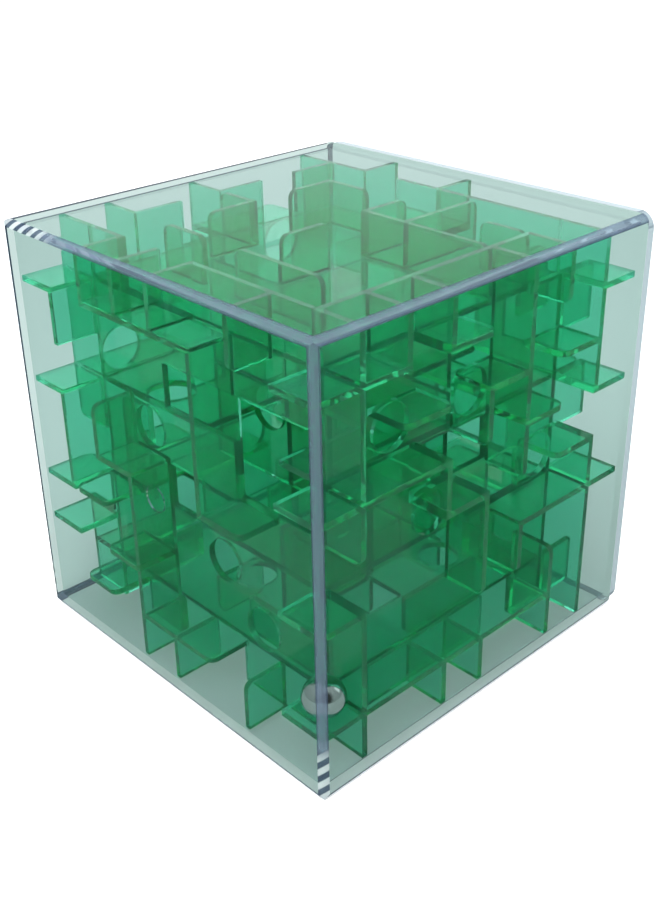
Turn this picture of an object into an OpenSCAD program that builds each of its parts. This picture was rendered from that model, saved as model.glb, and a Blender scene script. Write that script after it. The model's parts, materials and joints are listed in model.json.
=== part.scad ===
// Clear cube holding a green three-dimensional maze and one loose steel ball.
// Origin: centre of the bottom face. +X points to the lid, -Y to the front, +Z up.
// Maze grid: eight cells each way; plane 0 and plane 8 are the clear walls.

/* [Case] */
// Outer edge length of the cube
cube_size = 80; // [60:0.5:120]
// Thickness of the clear walls
case_wall = 1.8; // [1.2:0.1:3]
// Radius of the outer edges of the clear box
edge_r = 1.6; // [0.8:0.1:3]
// Radius of the four corners of the lid plate
lid_corner_r = 3; // [1:0.1:5]
// Diameter of the shallow gate mark in the middle of the closed end
gate_d = 5; // [2:0.5:8]
// Depth of the gate mark
gate_depth = 0.3; // [0.1:0.1:0.6]

/* [Maze] */
// Thickness of every green wall
maze_wall = 1.2; // [0.8:0.1:2]
// Gap between the fin edges and the clear walls
tip_gap = 0.2; // [0.1:0.05:0.5]
// Gap between neighbouring green pieces
seam_gap = 0.1; // [0.05:0.05:0.3]
// Radius of the free corners of the fins
fin_r = 1.6; // [0.5:0.1:3]

/* [Ball] */
// Room between the ball and the two walls of a passage
ball_slack = 1.5; // [0.8:0.1:2.5]
// Room between the ball and a round hole
hole_slack = 1.2; // [0.6:0.1:1.4]
// Gap under the resting ball
rest_gap = 0.03; // [0.01:0.01:0.1]

/* [Hidden] */
$fn = 64;
cells = 8;
inner = cube_size - 2*case_wall;
cell = (inner - (cells - 1)*maze_wall)/cells;
pitch = cell + maze_wall;
ball_d = cell - ball_slack;
hole_d = ball_d + hole_slack;
half = cube_size/2;
tip = inner/2 - tip_gap;
inner_r = min(0.5, 2*tip_gap);
// Outermost planes of the six panels, and the faces between panels
plate = 3*pitch;
out_face = plate + maze_wall/2;
in_face = plate - maze_wall/2;
seam = in_face - seam_gap;

// Node to draw: all, or one name from the list

// Fins are listed as [plane, from, to] in grid planes. A row list runs along the
// first direction of its panel, a column list along the second.

// Front layer, cells j 0 to 1: rows lie on planes k and run along i
front_rows = [
  [7, 0, 2], [7, 3, 4], [7, 7, 8], [6, 2, 3], [6, 4, 5], [6, 6, 7],
  [5, 0, 3], [5, 5, 6], [5, 7, 8], [4, 3, 4], [4, 6, 7],
  [3, 0, 1], [3, 5, 8], [1, 0, 6]
];
front_columns = [
  [1, 4, 8], [1, 0, 3], [2, 7, 8], [3, 7, 8], [3, 4, 5], [3, 0, 1],
  [4, 5, 6], [4, 2, 4], [4, 0, 1], [5, 4, 8], [5, 2, 3],
  [6, 7, 8], [6, 0, 2], [7, 5, 8], [7, 0, 4]
];
// Rear layer, cells j 7 to 8
rear_rows = [
  [7, 0, 1], [7, 4, 6], [6, 2, 3], [5, 0, 3], [5, 7, 8], [4, 6, 7], [3, 0, 1],
  [3, 2, 3], [3, 5, 8], [2, 0, 1], [2, 3, 5], [1, 1, 3], [1, 7, 8]
];
rear_columns = [
  [1, 4, 8], [1, 0, 2], [2, 7, 8], [2, 2, 4], [3, 0, 1], [4, 6, 8], [5, 4, 5],
  [6, 2, 3], [6, 0, 1], [7, 6, 8], [7, 1, 4]
];
// Left layer, cells i 0 to 1: rows lie on planes k and run along j
left_rows = [
  [7, 3, 6], [4, 5, 6], [4, 2, 3], [3, 6, 7], [2, 5, 6], [1, 6, 7], [1, 3, 5]
];
left_columns = [
  [6, 7, 8], [6, 4, 5], [5, 7, 8], [5, 0, 4], [4, 7, 8], [4, 0, 1],
  [3, 4, 7], [2, 0, 1], [2, 7, 8]
];
// Right layer, cells i 7 to 8
right_rows = [
  [7, 4, 6], [6, 3, 4], [5, 1, 3], [4, 3, 5], [3, 5, 7], [2, 2, 4], [1, 4, 6]
];
right_columns = [
  [6, 7, 8], [6, 4, 5], [5, 1, 3], [4, 7, 8], [3, 5, 6], [3, 0, 1],
  [2, 6, 7], [5, 0, 1]
];
// Top layer, cells k 7 to 8: rows lie on planes j and run along i
top_rows = [[6, 3, 4], [6, 5, 6], [4, 3, 4], [4, 5, 6], [3, 5, 7]];
top_columns = [[2, 5, 6], [2, 2, 4], [4, 6, 7], [5, 1, 4], [6, 5, 6], [6, 1, 2]];
// Bottom layer, cells k 0 to 1
bottom_rows = [[5, 2, 3], [4, 5, 6], [2, 4, 6]];
bottom_columns = [[2, 2, 4], [4, 3, 5], [6, 3, 5]];

// Tabs that carry a panel's own plate on beyond the inner box, as
// [from, to, from, to] along the first and second direction of the panel
front_tabs = [
  [1, 6, 7, 8], [2, 5, 0, 1], [6, 7, 0, 1], [7, 8, 6, 7], [7, 8, 4, 5], [7, 8, 0, 1]
];
rear_tabs = [
  [2, 3, 7, 8], [4, 5, 7, 8], [6, 7, 7, 8], [0, 1, 6, 7], [0, 1, 3, 5],
  [7, 8, 5, 6], [7, 8, 2, 3], [1, 3, 0, 1], [5, 6, 0, 1]
];
left_tabs = [[1, 4, 7, 8], [6, 7, 7, 8], [1, 3, 0, 1], [5, 6, 0, 1]];
right_tabs = [[1, 5, 7, 8], [6, 7, 7, 8], [1, 3, 0, 1], [4, 6, 0, 1]];

// Square windows through the plates and shelves, as [from, to, from, to]
front_windows = [[3, 5, 4, 5], [5, 6, 3, 4]];
rear_windows = [[3, 4, 4, 5], [5, 6, 3, 5]];
left_windows = [[1, 3, 4, 6], [3, 5, 5, 6], [4, 5, 3, 4]];
right_windows = [[2, 4, 3, 4], [5, 6, 4, 6]];
bottom_windows = [[3, 4, 2, 3]];
lower_windows = [[1, 2, 4, 6], [5, 7, 3, 4]];
upper_windows = [[1, 3, 2, 4], [5, 7, 2, 3], [5, 6, 4, 6]];

// Round holes for the ball, at cell centres
front_holes = [[2.5, 5.5], [4.5, 5.5], [3.5, 3.5], [6.5, 3.5]];
rear_holes = [[1.5, 5.5], [4.5, 2.5], [5.5, 6.5]];
left_holes = [[5.5, 4.5], [3.5, 2.5], [2.5, 1.5]];
right_holes = [[5.5, 2.5], [4.5, 5.5]];
bottom_holes = [[2.5, 4.5], [5.5, 2.5]];
lower_holes = [[2.5, 2.5], [5.5, 5.5], [4.5, 1.5]];
upper_holes = [[1.5, 5.5], [3.5, 3.5]];
// Hole through the divider on plane i 3, as [j, k]
divider_hole = [4.5, 4.5];

// Dividers of the inner maze: rows on planes j along i, columns on planes i along j
lower_rows = [[3, 2, 4], [5, 4, 6]];
lower_columns = [[4, 3, 5]];
middle_rows = [[4, 3, 5]];
middle_columns = [[3, 3, 6], [5, 2, 4]];
upper_rows = [[4, 3, 5]];
upper_columns = [[3, 4, 6], [5, 2, 4]];

// Position of a grid plane from the centre of the cube
function at(n) = (n - cells/2)*pitch;
// End of a wall at a grid plane; low and high ends stop at the limit on each side
function low_end(n, lim) = max(at(n) - maze_wall/2, -lim);
function high_end(n, lim) = min(at(n) + maze_wall/2, lim);
// Number of crossing walls that reach the grid point (p, q)
function crossing(list, p, q) =
  len([for (w = list) if (w[0] == q && w[1] <= p && p <= w[2]) 1]);
// Corner radius at the end q of a wall on plane p, nought where it meets another
function end_r(list, p, q) =
  (q <= 0 || q >= cells || crossing(list, p, q) > 0) ? 0 : fin_r;

// Rectangle from [x0, y0] to [x1, y1] whose two upper corners are rounded
module fin_outline(x0, y0, x1, y1, r0, r1) {
  difference() {
    translate([x0, y0]) square([x1 - x0, y1 - y0]);
    if (r0 > 0) upper_corner_waste(x0, y1, r0, 1);
    if (r1 > 0) upper_corner_waste(x1, y1, r1, -1);
  }
}

// Piece cut away to round one upper corner
module upper_corner_waste(x, y, r, side) {
  difference() {
    translate([x - r, y - r]) square(2*r);
    translate([x + side*r, y - r]) circle(r);
  }
}

// One fin: runs along X on the plane y = at(p) and rises along Z to the case
module row_fin(p, a, b, r0, r1, lim) {
  translate([0, at(p) + maze_wall/2, 0]) rotate([90, 0, 0])
    linear_extrude(maze_wall)
      fin_outline(low_end(a, lim), in_face, high_end(b, lim), tip, r0, r1);
}

// One fin that runs along Y on the plane x = at(p)
module column_fin(p, a, b, r0, r1, lim) {
  translate([at(p) - maze_wall/2, 0, 0]) rotate([90, 0, 90])
    linear_extrude(maze_wall)
      fin_outline(low_end(a, lim), in_face, high_end(b, lim), tip, r0, r1);
}

// All fins of a panel that faces +Z; lim_x and lim_y bound the panel each way
module fins(rows, columns, lim_x, lim_y) {
  for (w = rows)
    row_fin(w[0], w[1], w[2], end_r(columns, w[0], w[1]),
      end_r(columns, w[0], w[2]), lim_x);
  for (w = columns)
    column_fin(w[0], w[1], w[2], end_r(rows, w[0], w[1]),
      end_r(rows, w[0], w[2]), lim_y);
}

// Plate of a panel that faces +Z, with tabs, square windows and round holes
module plate_sheet(lim_x, lim_y, tabs, windows, holes) {
  translate([0, 0, in_face])
    linear_extrude(maze_wall)
      difference() {
        union() {
          square([2*min(lim_x, out_face), 2*min(lim_y, out_face)], center = true);
          for (t = tabs) {
            x0 = low_end(t[0], lim_x);
            y0 = low_end(t[2], lim_y);
            translate([x0, y0])
              square([high_end(t[1], lim_x) - x0, high_end(t[3], lim_y) - y0]);
          }
        }
        openings(windows, holes);
      }
}

// Outlines of the windows and round holes in a plate or shelf
module openings(windows, holes) {
  for (w = windows)
    translate([at(w[0]) + maze_wall/2, at(w[2]) + maze_wall/2])
      square([(w[1] - w[0])*pitch - maze_wall, (w[3] - w[2])*pitch - maze_wall]);
  for (h = holes) translate([at(h[0]), at(h[1])]) circle(d = hole_d);
}

// Whole panel that faces +Z, about the centre of the cube
module panel(rows, columns, lim_x, lim_y, tabs, windows, holes) {
  union() {
    plate_sheet(lim_x, lim_y, tabs, windows, holes);
    fins(rows, columns, lim_x, lim_y);
  }
}

// Place a +Z panel in one of the outer layers, first and second direction kept
module to_centre() {
  translate([0, 0, half]) children();
}
module facing_front() {
  to_centre() rotate([90, 0, 0]) children();
}
module facing_rear() {
  to_centre() mirror([0, 1, 0]) rotate([90, 0, 0]) children();
}
module facing_right() {
  to_centre() rotate([90, 0, 90]) children();
}
module facing_left() {
  to_centre() mirror([1, 0, 0]) rotate([90, 0, 90]) children();
}

// Rounded square prism along +Z from z = 0
module soft_prism(w, h, r, length) {
  linear_extrude(length) {
    square([w - 2*r, h], center = true);
    square([w, h - 2*r], center = true);
    for (x = [-1, 1], y = [-1, 1])
      translate([x*(w/2 - r), y*(h/2 - r)]) circle(r);
  }
}

module case_tub() {
  depth = cube_size - case_wall;
  middle = (depth + edge_r)/2 - half;
  color([0.78, 0.88, 0.86, 0.35])
    difference() {
      intersection() {
        translate([-half, 0, half]) rotate([90, 0, 90])
          soft_prism(cube_size, cube_size, edge_r, depth);
        translate([middle, 0, 0])
          soft_prism(depth + edge_r, cube_size, edge_r, cube_size);
        translate([middle, half, half]) rotate([90, 0, 0])
          soft_prism(depth + edge_r, cube_size, edge_r, cube_size);
      }
      translate([case_wall - half, 0, half]) rotate([90, 0, 90])
        soft_prism(inner, inner, inner_r, cube_size);
      translate([-half, 0, half]) rotate([0, 90, 0])
        cylinder(d = gate_d, h = 2*gate_depth, center = true);
    }
}

module case_lid() {
  color([0.78, 0.88, 0.86, 0.35])
    translate([half - case_wall, 0, half]) rotate([90, 0, 90])
      soft_prism(cube_size, cube_size, lid_corner_r, case_wall);
}

module front_maze_panel() {
  color([0.13, 0.62, 0.42, 0.8]) facing_front()
    panel(front_rows, front_columns, tip, tip, front_tabs, front_windows, front_holes);
}

module rear_maze_panel() {
  color([0.13, 0.62, 0.42, 0.8]) facing_rear()
    panel(rear_rows, rear_columns, tip, tip, rear_tabs, rear_windows, rear_holes);
}

module left_maze_panel() {
  color([0.13, 0.62, 0.42, 0.8]) facing_left()
    panel(left_rows, left_columns, seam, tip, left_tabs, left_windows, left_holes);
}

module right_maze_panel() {
  color([0.13, 0.62, 0.42, 0.8]) facing_right()
    panel(right_rows, right_columns, seam, tip, right_tabs, right_windows, right_holes);
}

module top_maze_panel() {
  color([0.13, 0.62, 0.42, 0.8]) to_centre()
    panel(top_rows, top_columns, seam, seam, [], [], []);
}

module bottom_maze_panel() {
  color([0.13, 0.62, 0.42, 0.8]) to_centre() mirror([0, 0, 1])
    panel(bottom_rows, bottom_columns, seam, seam, [], bottom_windows, bottom_holes);
}

// Upright dividers of the inner maze between the heights z0 and z1
module dividers(rows, columns, z0, z1) {
  translate([0, 0, half + z0]) {
    for (w = rows)
      translate([low_end(w[1], seam), at(w[0]) - maze_wall/2, 0])
        cube([high_end(w[2], seam) - low_end(w[1], seam), maze_wall, z1 - z0]);
    for (w = columns)
      translate([at(w[0]) - maze_wall/2, low_end(w[1], seam), 0])
        cube([maze_wall, high_end(w[2], seam) - low_end(w[1], seam), z1 - z0]);
  }
}

// Shelf of the inner maze on the plane k
module shelf(k, windows, holes) {
  translate([0, 0, half + at(k) - maze_wall/2])
    linear_extrude(maze_wall)
      difference() {
        square([2*seam, 2*seam], center = true);
        openings(windows, holes);
      }
}

module lower_core_tray() {
  color([0.13, 0.62, 0.42, 0.8]) union() {
    shelf(3, lower_windows, lower_holes);
    dividers(lower_rows, lower_columns, -seam, at(3));
  }
}

module middle_core_grid() {
  low = at(3) + maze_wall/2 + seam_gap;
  color([0.13, 0.62, 0.42, 0.8])
    difference() {
      dividers(middle_rows, middle_columns, low, -low);
      translate([at(3), at(divider_hole[0]), half + at(divider_hole[1])])
        rotate([0, 90, 0]) cylinder(d = hole_d, h = 2*maze_wall, center = true);
    }
}

module upper_core_tray() {
  color([0.13, 0.62, 0.42, 0.8]) union() {
    shelf(5, upper_windows, upper_holes);
    dividers(upper_rows, upper_columns, at(5), seam);
  }
}

// Ball in the lower front corner passage of the left layer, resting on plane k 1
module steel_ball() {
  color([0.75, 0.75, 0.77])
    translate([
      -(in_face + tip + maze_wall + tip_gap)/2,
      -(in_face + tip + maze_wall + tip_gap)/2,
      half + at(1) + maze_wall/2 + ball_d/2 + rest_gap
    ]) sphere(d = ball_d);
}

case_tub();
case_lid();
left_maze_panel();
right_maze_panel();
front_maze_panel();
rear_maze_panel();
top_maze_panel();
bottom_maze_panel();
lower_core_tray();
middle_core_grid();
upper_core_tray();
steel_ball();
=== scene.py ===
"""Looks of the clear cube maze: tub, lid, green maze pieces and the loose steel ball.

Everything is in metres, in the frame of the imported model. Green and clear pieces are
closed solids, so light is bent at their faces and tinted by how far it travels inside.
"""

import json
import logging
import math
from dataclasses import dataclass
from enum import Enum
from typing import Any

import bmesh
import bpy
import numpy as np
from mathutils import Matrix, Vector

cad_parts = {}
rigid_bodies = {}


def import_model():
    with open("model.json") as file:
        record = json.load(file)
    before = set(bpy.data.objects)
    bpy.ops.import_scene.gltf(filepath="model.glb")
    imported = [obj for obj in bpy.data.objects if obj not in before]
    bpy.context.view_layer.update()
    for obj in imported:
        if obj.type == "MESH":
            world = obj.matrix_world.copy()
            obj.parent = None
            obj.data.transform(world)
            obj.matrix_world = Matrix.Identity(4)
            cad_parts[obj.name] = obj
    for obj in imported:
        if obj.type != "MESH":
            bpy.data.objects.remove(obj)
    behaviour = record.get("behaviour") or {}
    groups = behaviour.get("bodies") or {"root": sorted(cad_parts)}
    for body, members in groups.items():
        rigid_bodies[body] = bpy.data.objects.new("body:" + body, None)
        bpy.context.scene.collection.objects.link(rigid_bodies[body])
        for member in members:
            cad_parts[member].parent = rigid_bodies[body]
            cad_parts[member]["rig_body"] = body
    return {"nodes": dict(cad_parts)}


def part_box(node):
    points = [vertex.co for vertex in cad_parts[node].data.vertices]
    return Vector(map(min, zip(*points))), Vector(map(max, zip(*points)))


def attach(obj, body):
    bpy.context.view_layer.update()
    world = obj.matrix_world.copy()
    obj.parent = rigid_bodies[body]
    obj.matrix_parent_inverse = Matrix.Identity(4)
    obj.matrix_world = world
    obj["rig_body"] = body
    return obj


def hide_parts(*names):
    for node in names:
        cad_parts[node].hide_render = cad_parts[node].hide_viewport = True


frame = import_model()

MM = 0.001
TOUCH = 1e-6  # metres below which two points are one
LOG = logging.getLogger("cube_maze")


class Slot(Enum):
    """Material slots of the record."""

    CASE = "clear_case"
    MAZE = "green_maze"
    BALL = "ball_steel"


# ---------------------------------------------------------------------------
# Small helpers
# ---------------------------------------------------------------------------


def linear(hex_colour: str) -> tuple[float, float, float]:
    """Turn an sRGB hex colour into linear light.

    Args:
        hex_colour: Six hex digits, such as "3FA27C".

    Returns:
        Red, green and blue in linear light, each 0 to 1.
    """
    raw = [int(hex_colour[i : i + 2], 16) / 255 for i in (0, 2, 4)]
    return tuple(c / 12.92 if c <= 0.04045 else ((c + 0.055) / 1.055) ** 2.4 for c in raw)


def rgba(hex_colour: str) -> tuple[float, float, float, float]:
    """Linear colour of a hex value with full alpha."""
    return (*linear(hex_colour), 1.0)


def add_node(tree: bpy.types.NodeTree, kind: str, settings: dict[str, Any] | None = None,
             **inputs: Any) -> bpy.types.Node:
    """Add one node with its settings, constants and links.

    Args:
        tree: Node tree to add to.
        kind: Node type identifier.
        settings: Attributes to set on the node.
        **inputs: Socket values by name, with spaces as underscores. A key such as
            i0 means the socket at that index. A value that is an output socket is linked.

    Returns:
        The new node.
    """
    node = tree.nodes.new(kind)
    for key, value in (settings or {}).items():
        setattr(node, key, value)
    for key, value in inputs.items():
        indexed = key[0] == "i" and key[1:].isdigit()
        socket = node.inputs[int(key[1:])] if indexed else node.inputs[key.replace("_", " ")]
        if isinstance(value, bpy.types.NodeSocket):
            tree.links.new(value, socket)
        else:
            socket.default_value = value
    return node


def per_metre(size_mm: float) -> float:
    """Noise scale on metre coordinates that gives features about size_mm across."""
    return 1.0 / (size_mm * MM)


def empty_material(name: str) -> bpy.types.Material:
    """Make a material with nothing in its node tree.

    Args:
        name: Name of the material.

    Returns:
        The new material.
    """
    material = bpy.data.materials.new(name)
    material.use_nodes = True
    material.node_tree.nodes.clear()
    return material


def choose_by_ray(tree: bpy.types.NodeTree, seen: bpy.types.Node, led: bpy.types.Node,
                  mirrored: bpy.types.Node) -> bpy.types.NodeSocket:
    """Choose what the studio shows by the way that a ray comes to it.

    Args:
        tree: Node tree to add to.
        seen: Shader that the camera sees directly.
        led: Shader for light that has crossed the plastic or was scattered.
        mirrored: Shader for light that a glossy surface has mirrored.

    Returns:
        The chosen shader.
    """
    ray = add_node(tree, "ShaderNodeLightPath")
    glossy = add_node(tree, "ShaderNodeMath", {"operation": "GREATER_THAN"},
                      i0=ray.outputs["Is Glossy Ray"], i1=ray.outputs["Is Transmission Ray"])
    indirect = add_node(tree, "ShaderNodeMixShader", None, i0=glossy.outputs[0],
                        i1=led.outputs[0], i2=mirrored.outputs[0])
    chosen = add_node(tree, "ShaderNodeMixShader", None, i0=ray.outputs["Is Camera Ray"],
                      i1=indirect.outputs[0], i2=seen.outputs[0])
    return chosen.outputs[0]


# ---------------------------------------------------------------------------
# Finishes
# ---------------------------------------------------------------------------


@dataclass(frozen=True)
class TintedPlastic:
    """Moulded transparent polystyrene, tinted through its thickness.

    It gives the eye see-through walls whose colour deepens where they overlap and along
    their edges, with soft clouds of handling haze.

    Attributes:
        name: Name of the material.
        ior: Refractive index.
        clarity: Share of light that goes straight through a surface; the rest is
            scattered by the plastic in its own colour.
        skin_hex: Colour that is left of white light after two surfaces.
        body_hex: Colour that is left of white light after one tint depth.
        depth_mm: Distance over which white light turns to body_hex.
        gloss: Lowest and highest roughness over the surface.
        wave_mm: Size of the slow moulding waves.
        wave_height_mm: Height of those waves.
        haze_mm: Size of the handling marks.
    """

    name: str
    ior: float
    clarity: float
    skin_hex: str
    body_hex: str
    depth_mm: float
    gloss: tuple[float, float]
    wave_mm: float
    wave_height_mm: float
    haze_mm: float = 9.0

    def absorption(self) -> tuple[tuple[float, float, float, float], float]:
        """Work out the colour and density of the absorbing volume.

        Light falls off as exp(-(1 - colour) * density * distance), so each channel's
        rate is minus the log of the wanted colour over the tint depth. The density is a
        little above the highest rate, so that no channel of the colour is 0.

        Returns:
            Volume colour and density per metre.
        """
        left = np.clip(linear(self.body_hex), 1e-4, 0.9999)
        rate = -np.log(left) / (self.depth_mm * MM)
        density = float(rate.max()) * 1.02
        return (*(1 - rate / density).tolist(), 1.0), density

    def build(self) -> bpy.types.Material:
        """Make the material.

        Returns:
            A refracting material with handling marks, moulding waves and volume tint.
        """
        material = empty_material(self.name)
        tree = material.node_tree
        place = add_node(tree, "ShaderNodeTexCoord").outputs["Object"]
        # Handling haze: soft cloudy patches
        haze = add_node(tree, "ShaderNodeTexNoise", None, Vector=place,
                        Scale=per_metre(self.haze_mm), Detail=4.0, Roughness=0.6)
        rough = add_node(tree, "ShaderNodeMapRange", None, Value=haze.outputs[0],
                         From_Min=0.45, From_Max=0.75, To_Min=self.gloss[0],
                         To_Max=self.gloss[1])
        # Slow waves left by the mould as the wall shrinks
        wave = add_node(tree, "ShaderNodeTexNoise", None, Vector=place,
                        Scale=per_metre(self.wave_mm), Detail=1.0)
        bump = add_node(tree, "ShaderNodeBump", None, Strength=1.0,
                        Distance=self.wave_height_mm * MM, Height=wave.outputs[0])
        shader = add_node(tree, "ShaderNodeBsdfPrincipled", None, Base_Color=rgba(self.skin_hex),
                          Transmission_Weight=self.clarity, IOR=self.ior,
                          Roughness=rough.outputs[0], Normal=bump.outputs[0])
        colour, density = self.absorption()
        volume = add_node(tree, "ShaderNodeVolumeAbsorption", None, Color=colour,
                          Density=density)
        add_node(tree, "ShaderNodeOutputMaterial", None, Surface=shader.outputs[0],
                 Volume=volume.outputs[0])
        return material


@dataclass(frozen=True)
class MouldedEdge:
    """Rounded edge of a clear moulded polystyrene wall.

    Light led along the walls and bent at the rounding leaves here. The lines of light and shade
    that this makes along its length are painted into its colour: a pale line where it meets
    the wall, then a dark one, then a soft blue grey.

    Attributes:
        name: Name of the material.
        painted_light_border_hex: Painted light next to the flat walls.
        painted_shade_line_hex: Painted shade of the dark lines.
        painted_middle_tone_hex: Painted tone of the middle of the rounding, for light led out of
            the walls.
        clarity: Share of light that goes straight through.
        ior: Refractive index; low, because a full one turns the rounding black.
        stops: Place of the border, line and middle tones across the rounding, from 0 at
            the walls to one half in the middle.
        wander_share: How far noise moves the painted lines, on the same scale.
        painted_stripe_mm: Spacing of the painted light and dark refraction stripes across the
            ends of the edges, 0 for none.
        painted_stripe_hexes: Painted shade and painted light of the stripes.
        painted_stripe_start_mm: Along Y, where the stripes of the upper edges begin and are
            full.
        painted_stripe_foot_mm: Height at which the stripes of the upright edges begin and are
            full.
        upper_mm: Height above which an edge is an upper one.
        along_limit: Part of the normal along an axis, below which the edge runs along it.
        wander_mm: Size of the patches of that noise along an edge.
    """

    name: str
    painted_light_border_hex: str
    painted_shade_line_hex: str
    painted_middle_tone_hex: str
    clarity: float
    ior: float = 1.08
    stops: tuple[float, float, float] = (0.16, 0.26, 0.42)
    wander_share: float = 0.12
    painted_stripe_mm: float = 2.8
    painted_stripe_hexes: tuple[str, str] = ("414F64", "E2EAEC")
    painted_stripe_start_mm: tuple[float, float] = (24.0, 30.0)
    painted_stripe_foot_mm: tuple[float, float] = (11.0, 8.0)
    upper_mm: float = 70.0
    along_limit: float = 0.05
    wander_mm: float = 6.0

    def build(self) -> bpy.types.Material:
        """Make the material.

        The place across a rounding follows from the surface normal n of the piece:
        |nx ny| + |ny nz| + |nz nx| is 0 at the walls and one half in the middle.

        Returns:
            A half clear material with painted lines of light and shade along the edge and a soft
            top gloss.
        """
        material = empty_material(self.name)
        tree = material.node_tree
        source = add_node(tree, "ShaderNodeTexCoord")
        size = add_node(tree, "ShaderNodeVectorMath", {"operation": "ABSOLUTE"},
                        i0=source.outputs["Normal"])
        part = add_node(tree, "ShaderNodeSeparateXYZ", None, Vector=size.outputs[0])
        turned = add_node(tree, "ShaderNodeCombineXYZ", None, X=part.outputs[1],
                          Y=part.outputs[2], Z=part.outputs[0])
        across = add_node(tree, "ShaderNodeVectorMath", {"operation": "DOT_PRODUCT"},
                          i0=size.outputs[0], i1=turned.outputs[0])
        # Noise that makes the painted lines of light and shade wander along the edge
        wander = add_node(tree, "ShaderNodeTexNoise", None, Vector=source.outputs["Object"],
                        Scale=per_metre(self.wander_mm), Detail=2.0)
        place = add_node(tree, "ShaderNodeMath", {"operation": "MULTIPLY_ADD"},
                         i0=wander.outputs[0], i1=self.wander_share, i2=across.outputs["Value"])
        # Painted light and shade across the rounding: a pale line by the walls, a dark line, a
        # blue grey middle
        painted_bands = add_node(tree, "ShaderNodeValToRGB", None, Fac=place.outputs[0])
        ramp = painted_bands.color_ramp
        border, line = ramp.elements
        border.position, border.color = self.stops[0], rgba(self.painted_light_border_hex)
        line.position, line.color = self.stops[1], rgba(self.painted_shade_line_hex)
        ramp.elements.new(self.stops[2]).color = rgba(self.painted_middle_tone_hex)
        tone = painted_bands.outputs[0]
        # Painted refraction: light and dark stripes at the ends of the edges
        if self.painted_stripe_mm:
            tone = self.add_painted_stripes(tree, source.outputs["Object"], part, tone)
        shader = add_node(tree, "ShaderNodeBsdfPrincipled", None, Base_Color=tone,
                          Transmission_Weight=self.clarity, IOR=self.ior, Roughness=0.12,
                          Coat_Weight=0.3, Coat_Roughness=0.08)
        add_node(tree, "ShaderNodeOutputMaterial", None, Surface=shader.outputs[0])
        return material

    def add_painted_stripes(self, tree: bpy.types.NodeTree, place: bpy.types.NodeSocket,
                   facing: bpy.types.Node, tone: bpy.types.NodeSocket) -> bpy.types.NodeSocket:
        """Paint light and dark refraction stripes across the ends of the edges.

        A stripe repeats at the set spacing along y + z, as the sine of that sum. The stripes
        fade in at the far end of the upper edges along Y and at the foot of the upright
        edges, which are told from the others by a normal with no part along them.

        Args:
            tree: Node tree of the material.
            place: Object coordinates.
            facing: Node whose outputs are the sizes of the normal's parts.
            tone: Colour of the edge without the painted stripes.

        Returns:
            The colour with the painted stripes.
        """
        spot = add_node(tree, "ShaderNodeSeparateXYZ", None, Vector=place)
        run = add_node(tree, "ShaderNodeMath", {"operation": "ADD"}, i0=spot.outputs[1],
                       i1=spot.outputs[2])
        turn = add_node(tree, "ShaderNodeMath", {"operation": "MULTIPLY"}, i0=run.outputs[0],
                        i1=2 * math.pi / (self.painted_stripe_mm * MM))
        wave = add_node(tree, "ShaderNodeMath", {"operation": "SINE"}, i0=turn.outputs[0])
        stripe_blend = add_node(tree, "ShaderNodeMapRange", None, Value=wave.outputs[0],
                         From_Min=-0.3, From_Max=0.3)
        # Painted shade and painted light of the refraction stripes
        painted_dark_stripe, painted_light_stripe = (rgba(tone_hex) for tone_hex in self.painted_stripe_hexes)
        colours = add_node(tree, "ShaderNodeMix", {"data_type": "RGBA"}, i0=stripe_blend.outputs[0],
                           i6=painted_dark_stripe, i7=painted_light_stripe)
        start, full = self.painted_stripe_start_mm
        end = add_node(tree, "ShaderNodeMapRange", None, Value=spot.outputs[1],
                       From_Min=start * MM, From_Max=full * MM)
        high = add_node(tree, "ShaderNodeMath", {"operation": "GREATER_THAN"},
                        i0=spot.outputs[2], i1=self.upper_mm * MM)
        along_y = add_node(tree, "ShaderNodeMath", {"operation": "LESS_THAN"},
                           i0=facing.outputs[1], i1=self.along_limit)
        upper = add_node(tree, "ShaderNodeMath", {"operation": "MULTIPLY"},
                         i0=high.outputs[0], i1=along_y.outputs[0])
        start, full = self.painted_stripe_foot_mm
        foot = add_node(tree, "ShaderNodeMapRange", None, Value=spot.outputs[2],
                        From_Min=start * MM, From_Max=full * MM)
        upright = add_node(tree, "ShaderNodeMath", {"operation": "LESS_THAN"},
                           i0=facing.outputs[2], i1=self.along_limit)
        far = add_node(tree, "ShaderNodeMath", {"operation": "MULTIPLY"}, i0=end.outputs[0],
                       i1=upper.outputs[0])
        low = add_node(tree, "ShaderNodeMath", {"operation": "MULTIPLY"}, i0=foot.outputs[0],
                       i1=upright.outputs[0])
        mask = add_node(tree, "ShaderNodeMath", {"operation": "MAXIMUM"}, i0=far.outputs[0],
                        i1=low.outputs[0])
        laid = add_node(tree, "ShaderNodeMix", {"data_type": "RGBA"}, i0=mask.outputs[0],
                        i6=tone, i7=colours.outputs[2])
        return laid.outputs[2]


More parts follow.
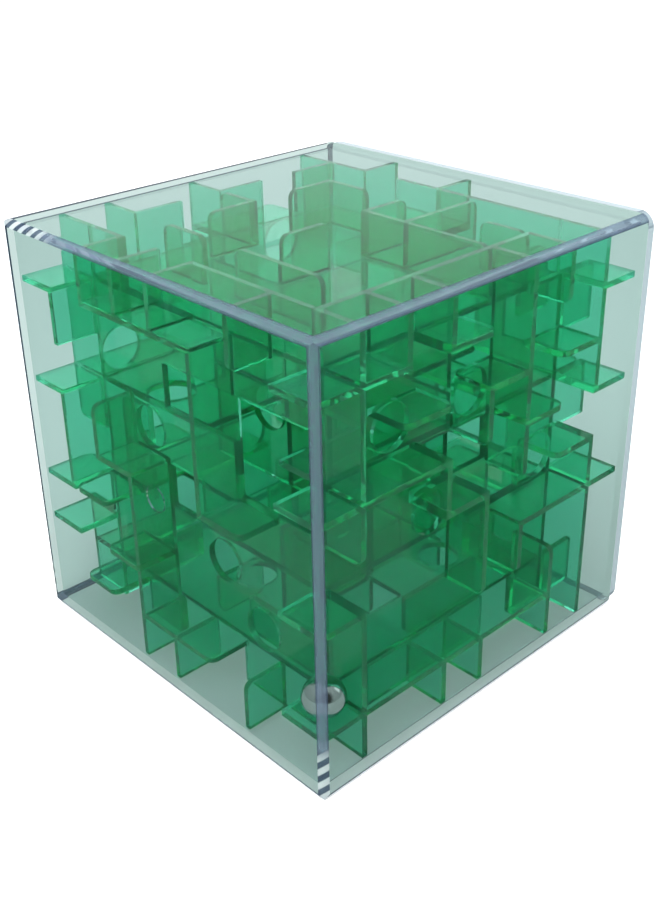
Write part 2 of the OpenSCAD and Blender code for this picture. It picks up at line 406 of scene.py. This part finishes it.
@dataclass(frozen=True)
class PolishedSteel:
    """Ground and polished bearing steel: mirror bright with faint hairline scratches.

    Attributes:
        name: Name of the material.
        tone_hex: Colour of the metal.
        scratch_mm: Size of the scratches. Real ones are a few hundredths of a millimetre
            wide; they are drawn wider so that they show.
        scratch_depth_mm: Depth of the scratches.
    """

    name: str = "polished_bearing_steel"
    tone_hex: str = "ACADAD"
    scratch_mm: float = 0.25
    scratch_depth_mm: float = 0.004

    def build(self) -> bpy.types.Material:
        """Make the material.

        Returns:
            A metal whose roughness and bump carry fine hairline marks.
        """
        material = empty_material(self.name)
        tree = material.node_tree
        place = add_node(tree, "ShaderNodeTexCoord").outputs["Object"]
        hair = add_node(tree, "ShaderNodeTexNoise", None, Vector=place,
                        Scale=per_metre(self.scratch_mm), Detail=3.0, Distortion=1.5)
        rough = add_node(tree, "ShaderNodeMapRange", None, Value=hair.outputs[0],
                         From_Min=0.35, From_Max=0.7, To_Min=0.02, To_Max=0.07)
        bump = add_node(tree, "ShaderNodeBump", None, Strength=0.4,
                        Distance=self.scratch_depth_mm * MM, Height=hair.outputs[0])
        shader = add_node(tree, "ShaderNodeBsdfPrincipled", None,
                          Base_Color=rgba(self.tone_hex), Metallic=1.0,
                          Roughness=rough.outputs[0], Normal=bump.outputs[0])
        add_node(tree, "ShaderNodeOutputMaterial", None, Surface=shader.outputs[0])
        return material


@dataclass(frozen=True)
class StudioBoard:
    """Matt white card that the cube stands on: even and pale, with a faint mottle.

    Behind the plastic it shows as a painted lit copy, grey and glowing, and in reflections
    as a painted shaded copy, dark.

    Attributes:
        name: Name of the material.
        tone_hex: Its colour, seen directly.
        mottle_hex: Second colour of the mottle.
        mottle_mm: Size of the mottle.
        painted_lit_copy_hex: Painted light: colour of a glowing copy of the board, seen behind
            plastic and as a source of scattered light.
        painted_shade_copy_hex: Painted shade: colour of a dark copy of the board, where a
            surface mirrors it.
        roughness: Roughness of the card.
    """

    name: str = "matt_white_board"
    tone_hex: str = "F6F6F5"
    mottle_hex: str = "F3F4F4"
    mottle_mm: float = 40.0
    painted_lit_copy_hex: str = "9DA3A2"
    painted_shade_copy_hex: str = "3A3F3D"
    roughness: float = 0.9

    def build(self) -> bpy.types.Material:
        """Make the material.

        Returns:
            A matt material with a faint paper mottle, and painted lit and shaded copies chosen
            by ray.
        """
        material = empty_material(self.name)
        tree = material.node_tree
        place = add_node(tree, "ShaderNodeTexCoord").outputs["Object"]
        mottle = add_node(tree, "ShaderNodeTexNoise", None, Vector=place,
                          Scale=per_metre(self.mottle_mm), Detail=3.0)
        tone = add_node(tree, "ShaderNodeMix", {"data_type": "RGBA"}, i0=mottle.outputs[0],
                        i6=rgba(self.tone_hex), i7=rgba(self.mottle_hex))
        seen = add_node(tree, "ShaderNodeBsdfPrincipled", None, Base_Color=tone.outputs[2],
                        Roughness=self.roughness, Emission_Color=(1, 1, 1, 1),
                        Emission_Strength=0.3)
        # Painted light: a grey copy of the board that glows, seen behind plastic and in
        # scattered light
        led = add_node(tree, "ShaderNodeBsdfPrincipled", None, Base_Color=rgba(self.painted_lit_copy_hex),
                       Roughness=self.roughness, Emission_Color=(0.92, 1, 0.98, 1),
                       Emission_Strength=0.36)
        # Painted shade: a dark copy of the board, seen in reflections
        mirrored = add_node(tree, "ShaderNodeBsdfPrincipled", None,
                            Base_Color=rgba(self.painted_shade_copy_hex), Roughness=self.roughness)
        add_node(tree, "ShaderNodeOutputMaterial", None,
                 Surface=choose_by_ray(tree, seen, led, mirrored))
        return material


# ---------------------------------------------------------------------------
# Sub-assemblies
# ---------------------------------------------------------------------------


def make_object(name: str, mesh: bpy.types.Mesh, material: bpy.types.Material,
                body: str, stands_for: str) -> bpy.types.Object:
    """Put a finished mesh into the scene.

    Args:
        name: Name of the piece.
        mesh: Its mesh, in metres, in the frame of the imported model.
        material: Its finish.
        body: Body of the model it rides on.
        stands_for: CAD node it stands for.

    Returns:
        The new object, at the origin and unscaled.
    """
    piece = bpy.data.objects.new(name, mesh)
    bpy.context.scene.collection.objects.link(piece)
    mesh.materials.clear()
    mesh.materials.append(material)
    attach(piece, body)
    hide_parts(stands_for)
    return piece


def copy_merged(node: str, flat_degrees: float = 0.3) -> bpy.types.Mesh:
    """Copy a CAD node's mesh, join its loose triangles and flatten its facets.

    Args:
        node: Name of the CAD node.
        flat_degrees: Bend below which two facets become one face.

    Returns:
        A closed mesh whose flat faces are single polygons where they can be.
    """
    mesh = bpy.data.meshes.new(node + "_look")
    work = bmesh.new()
    work.from_mesh(frame["nodes"][node].data)
    bmesh.ops.remove_doubles(work, verts=work.verts, dist=TOUCH)
    bmesh.ops.dissolve_limit(work, angle_limit=math.radians(flat_degrees),
                             verts=work.verts, edges=work.edges)
    work.to_mesh(mesh)
    work.free()
    return mesh


@dataclass
class MazePieces:
    """The green panels and inner pieces: moulded plates with slightly softened edges.

    Attributes:
        material: Finish of all the green pieces.
        nodes: Names of their CAD nodes.
        edge_mm: Width of the softened edges.
        edge_degrees: Bend above which an edge is softened.
    """

    material: bpy.types.Material
    nodes: tuple[str, ...]
    edge_mm: float = 0.12
    edge_degrees: float = 40.0

    def build(self) -> list[bpy.types.Object]:
        """Make every green piece from its CAD shape, with its edges softened.

        Returns:
            The pieces, in the order of the nodes.
        """
        made = []
        for node in self.nodes:
            piece = make_object(node + "_moulded", copy_merged(node), self.material,
                                frame["nodes"][node]["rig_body"], node)
            soften = piece.modifiers.new("edge", "BEVEL")
            soften.width = self.edge_mm * MM
            soften.segments = 1
            soften.limit_method = "ANGLE"
            soften.angle_limit = math.radians(self.edge_degrees)
            piece.data.shade_flat()
            made.append(piece)
        return made


@dataclass
class ClearCase:
    """The clear tub and its lid: clear walls, and edges that gather the light, painted into
    their colour as lines of light and shade.

    Attributes:
        wall: Finish of the walls.
        tub_edge: Finish of the tub's rounded edges, with painted light and shade.
        lid_edge: Finish of the lid's rim, with painted light and shade.
        joint_mm: Room between the lid and the tub.
        flat_limit: Part of the normal along an axis, above which a face is a wall.
    """

    wall: bpy.types.Material
    tub_edge: bpy.types.Material
    lid_edge: bpy.types.Material
    joint_mm: float = 0.04
    flat_limit: float = 0.99

    def build(self) -> list[bpy.types.Object]:
        """Make the tub and the lid, with their edge faces in the edge finish.

        A wall face of the tub looks along one axis; its edge faces look between two
        axes. The lid's edge faces are all those round its rim, which look away from X.

        Returns:
            The tub and the lid.
        """
        made = []
        for node, edge in (("case_tub", self.tub_edge), ("case_lid", self.lid_edge)):
            piece = make_object(node + "_clear", copy_merged(node), self.wall,
                                frame["nodes"][node]["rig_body"], node)
            mesh = piece.data
            mesh.materials.append(edge)
            normals = np.empty(len(mesh.polygons) * 3)
            mesh.polygons.foreach_get("normal", normals)
            parts = np.abs(normals.reshape(-1, 3))
            straight = parts[:, 0] if node == "case_lid" else parts.max(axis=1)
            rim = straight <= self.flat_limit
            mesh.polygons.foreach_set("material_index", rim.astype(np.int32))
            if node == "case_lid":
                self.open_joint(mesh)
            mesh.shade_flat()
            mesh.update()
            made.append(piece)
        return made

    def open_joint(self, mesh: bpy.types.Mesh) -> None:
        """Open the joint between lid and tub by a hair, so light meets one face at a time.

        Args:
            mesh: Mesh of the lid; the points of its inner face move out along X.
        """
        points = np.empty(len(mesh.vertices) * 3)
        mesh.vertices.foreach_get("co", points)
        points = points.reshape(-1, 3)
        inner = points[:, 0] < points[:, 0].min() + TOUCH
        points[inner, 0] += self.joint_mm * MM
        mesh.vertices.foreach_set("co", points.ravel())


@dataclass
class SteelBall:
    """The loose ball: a closed sphere of rings about the upright axis.

    Attributes:
        material: Finish of the ball.
        rings: Bands of faces from pole to pole.
        steps: Faces round each band.
    """

    material: bpy.types.Material
    rings: int = 64
    steps: int = 96

    def build(self) -> bpy.types.Object:
        """Make the ball.

        A point is centre + radius * (sin a cos b, sin a sin b, cos a), with a from pole
        to pole and b round the axis; each pole is one point.

        Returns:
            The ball, of the size and at the place of its CAD node.
        """
        low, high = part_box("steel_ball")
        centre = np.array((low + high) / 2)
        radius = (high.x - low.x) / 2
        polar = np.linspace(0, np.pi, self.rings + 1)[1:-1, None]
        around = np.linspace(0, 2 * np.pi, self.steps, endpoint=False)[None, :]
        grid = np.stack([np.sin(polar) * np.cos(around), np.sin(polar) * np.sin(around),
                         np.cos(polar) + 0 * around], -1).reshape(-1, 3)
        points = np.vstack([grid, [[0, 0, 1], [0, 0, -1]]]) * radius + centre
        row = np.arange(self.rings - 2)[:, None] * self.steps
        col = np.arange(self.steps)[None, :]
        following = (col + 1) % self.steps
        quads = np.stack([row + col, row + self.steps + col, row + self.steps + following,
                          row + following], -1).reshape(-1, 4)
        top, bottom = len(grid), len(grid) + 1
        last = (self.rings - 2) * self.steps
        upper = np.stack([top + 0 * col, col, following], -1).reshape(-1, 3)
        lower = np.stack([bottom + 0 * col, last + following, last + col], -1).reshape(-1, 3)
        mesh = bpy.data.meshes.new("steel_ball_look")
        mesh.from_pydata(points.tolist(), [],
                         quads.tolist() + upper.tolist() + lower.tolist())
        mesh.shade_smooth()
        return make_object("polished_ball", mesh, self.material, "ball",
                           "steel_ball")


@dataclass(frozen=True)
class Softbox:
    """One square softbox.

    Attributes:
        name: Name of the light.
        place: Its position in metres.
        size: Edge length in metres.
        power: Power in watts.
    """

    name: str
    place: tuple[float, float, float]
    size: float
    power: float

    def hang(self, target: Vector) -> None:
        """Hang the softbox so that it faces a point.

        Args:
            target: The point, in metres.
        """
        light = bpy.data.lights.new(self.name, "AREA")
        light.size = self.size
        light.energy = self.power
        lamp = bpy.data.objects.new(self.name, light)
        turn = (target - Vector(self.place)).to_track_quat("-Z", "Y").to_matrix().to_4x4()
        lamp.matrix_world = Matrix.Translation(self.place) @ turn
        bpy.context.scene.collection.objects.link(lamp)


@dataclass(frozen=True)
class Studio:
    """Floor, room, lights and camera.

    Attributes:
        middle: Middle of the cube, which the camera and the softboxes face.
        azimuth: Camera angle about Z in degrees, 0 in front and positive to the right.
        elevation: Camera angle above the floor in degrees.
        roll: Turn of the camera about its own axis in degrees.
        distance: Camera distance from the middle of the cube in metres.
        lens_mm: Focal length.
        sensor_mm: Height of the sensor.
        shift: Sideways and upward shift of the lens, in sensor heights.
        board_half: Half the width of the floor board in metres.
        board_gap: Room between the board and the cube in metres.
        low_tone: Colour of the room at floor height.
        high_tone: Colour of the room overhead.
        mirrored_tone: Colour of the room where a surface mirrors it.
        open_side: Direction of the open, unlit side of the room.
        open_shade: Share of the light that the open side still gives.
        softboxes: The lamps.
    """

    middle: tuple[float, float, float] = (0.0, 0.0, 0.04)
    azimuth: float = -43.06
    elevation: float = 26.45
    roll: float = -1.05
    distance: float = 0.22288
    lens_mm: float = 31.72
    sensor_mm: float = 24.0
    shift: tuple[float, float] = (0.00111, -0.03)
    board_half: float = 4.0
    board_gap: float = 0.00005
    low_tone: tuple[float, float, float, float] = (0.62, 0.70, 0.69, 1.0)
    high_tone: tuple[float, float, float, float] = (0.95, 0.98, 1.0, 1.0)
    mirrored_tone: tuple[float, float, float, float] = (0.10, 0.11, 0.115, 1.0)
    open_side: tuple[float, float, float] = (-0.61, -0.65, 0.45)
    open_shade: float = 0.15
    softboxes: tuple[Softbox, ...] = (
        Softbox("key_softbox", (-0.5, -0.35, 0.8), 0.6, 13.0),
        Softbox("side_softbox", (0.7, -0.4, 0.5), 0.5, 1.0),
        Softbox("back_softbox", (0.49, 0.52, 0.36), 0.7, 1.7),
    )

    def floor(self, board: bpy.types.Material) -> None:
        """Lay the board: one large flat square.

        Args:
            board: Finish of the board.
        """
        mesh = bpy.data.meshes.new("board")
        half = self.board_half
        mesh.from_pydata([(-half, -half, 0), (half, -half, 0), (half, half, 0),
                          (-half, half, 0)], [], [(0, 1, 2, 3)])
        mesh.materials.append(board)
        plane = bpy.data.objects.new("board", mesh)
        bpy.context.scene.collection.objects.link(plane)
        plane.location.z = -self.board_gap

    def world(self) -> None:
        """Surround the cube with an even room, a little cooler overhead.

        The camera sees plain white behind the cube. Light that crosses the plastic comes
        from the room, which is unlit on its open side, and a glossy surface mirrors a
        dimmer room, so that its reflections don't wash out what is inside.
        """
        world = bpy.data.worlds.new("studio")
        world.use_nodes = True
        tree = world.node_tree
        tree.nodes.clear()
        seen = add_node(tree, "ShaderNodeBackground", None, Color=(1, 1, 1, 1), Strength=1.0)
        way = add_node(tree, "ShaderNodeTexCoord").outputs["Generated"]
        height = add_node(tree, "ShaderNodeSeparateXYZ", None, Vector=way).outputs["Z"]
        room = add_node(tree, "ShaderNodeValToRGB", None, Fac=height)
        low, high = room.color_ramp.elements
        low.position, low.color = 0.0, self.low_tone
        high.position, high.color = 0.8, self.high_tone
        facing = add_node(tree, "ShaderNodeVectorMath", {"operation": "DOT_PRODUCT"},
                          i0=way, i1=self.open_side)
        shade = add_node(tree, "ShaderNodeMapRange", None, Value=facing.outputs["Value"],
                         From_Min=0.7, From_Max=0.88, To_Min=1.0, To_Max=self.open_shade)
        led = add_node(tree, "ShaderNodeBackground", None, Color=room.outputs[0],
                       Strength=shade.outputs[0])
        mirrored = add_node(tree, "ShaderNodeBackground", None, Color=self.mirrored_tone,
                            Strength=1.0)
        add_node(tree, "ShaderNodeOutputWorld", None,
                 Surface=choose_by_ray(tree, seen, led, mirrored))
        bpy.context.scene.world = world

    def camera(self) -> None:
        """Place the camera; its axes follow from azimuth, elevation and roll."""
        angles = (self.azimuth, self.elevation, self.roll)
        azimuth, elevation, roll = (math.radians(angle) for angle in angles)
        back = Vector((math.sin(azimuth) * math.cos(elevation),
                       -math.cos(azimuth) * math.cos(elevation), math.sin(elevation)))
        right = (-back).cross(Vector((0, 0, 1))).normalized()
        up = right.cross(-back)
        side = right * math.cos(roll) + up * math.sin(roll)
        head = up * math.cos(roll) - right * math.sin(roll)
        data = bpy.data.cameras.new("camera")
        data.sensor_fit = "VERTICAL"
        data.sensor_height = self.sensor_mm
        data.lens = self.lens_mm
        data.shift_x, data.shift_y = self.shift
        data.clip_start = 0.005
        rig = bpy.data.objects.new("camera", data)
        turn = Matrix((side, head, back)).transposed().to_4x4()
        rig.matrix_world = Matrix.Translation(Vector(self.middle) + back * self.distance) @ turn
        bpy.context.scene.collection.objects.link(rig)
        bpy.context.scene.camera = rig

    def path_depth(self) -> None:
        """Let light cross as many walls as the maze stacks up, and show tones unchanged."""
        cycles = bpy.context.scene.cycles
        cycles.max_bounces = 64
        cycles.transmission_bounces = 64
        cycles.glossy_bounces = 8
        cycles.diffuse_bounces = 3
        cycles.sample_clamp_indirect = 6.0
        bpy.context.scene.view_settings.view_transform = "Standard"

    def build(self) -> None:
        """Set up the whole studio."""
        self.floor(StudioBoard().build())
        self.world()
        for softbox in self.softboxes:
            softbox.hang(Vector(self.middle))
        self.camera()
        self.path_depth()


# ---------------------------------------------------------------------------
# The finishes of this cube
# ---------------------------------------------------------------------------

# Clear polystyrene, injection moulded and glossy: plain glassy walls. Its index is well
# below the real 1.59, which would lay a white haze over the maze behind the walls.
CLEAR_WALL = TintedPlastic(
    name="clear_polystyrene", ior=1.08, clarity=1.0, skin_hex="DAE7E4", body_hex="DCE6F0",
    depth_mm=60.0, gloss=(0.0, 0.01), wave_mm=14, wave_height_mm=0.003)
# Rounded edges of the same moulding: painted light and shade, blue grey and dark lines with pale
# borders, and painted refraction stripes at the ends
TUB_EDGE = MouldedEdge(
    name="clear_polystyrene_edge_painted_light", painted_light_border_hex="C4D6D6", painted_shade_line_hex="4F5F74",
    painted_middle_tone_hex="76869A", clarity=0.58)
# Rim of the lid plate: a paler band of painted light and shade, without painted refraction
# stripes
LID_EDGE = MouldedEdge(
    name="clear_polystyrene_lid_rim_painted_light", painted_light_border_hex="B4C1CA", painted_shade_line_hex="7F8D9A",
    painted_middle_tone_hex="A3B1BB", clarity=0.5, painted_stripe_mm=0.0)
# Translucent green polystyrene: deeper green with every wall the light crosses. Its
# index is below the real one too, so that the back of the maze still shows.
GREEN_WALL = TintedPlastic(
    name="green_polystyrene", ior=1.25, clarity=0.93, skin_hex="87EACD", body_hex="D0F7E8",
    depth_mm=2.6, gloss=(0.02, 0.06), wave_mm=10, wave_height_mm=0.003)


def main() -> None:
    logging.basicConfig(level=logging.INFO, format="%(name)s: %(message)s")
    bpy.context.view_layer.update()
    nodes = tuple(n for n in frame["nodes"]
                  if n not in ("case_tub", "case_lid", "steel_ball"))
    case = ClearCase(CLEAR_WALL.build(), TUB_EDGE.build(), LID_EDGE.build()).build()
    for piece in case + MazePieces(GREEN_WALL.build(), nodes).build():
        LOG.info("%s: %d faces", piece.name, len(piece.data.polygons))
    ball = SteelBall(PolishedSteel().build()).build()
    LOG.info("%s: %d faces", ball.name, len(ball.data.polygons))
    Studio().build()


if __name__ == "__main__":
    main()
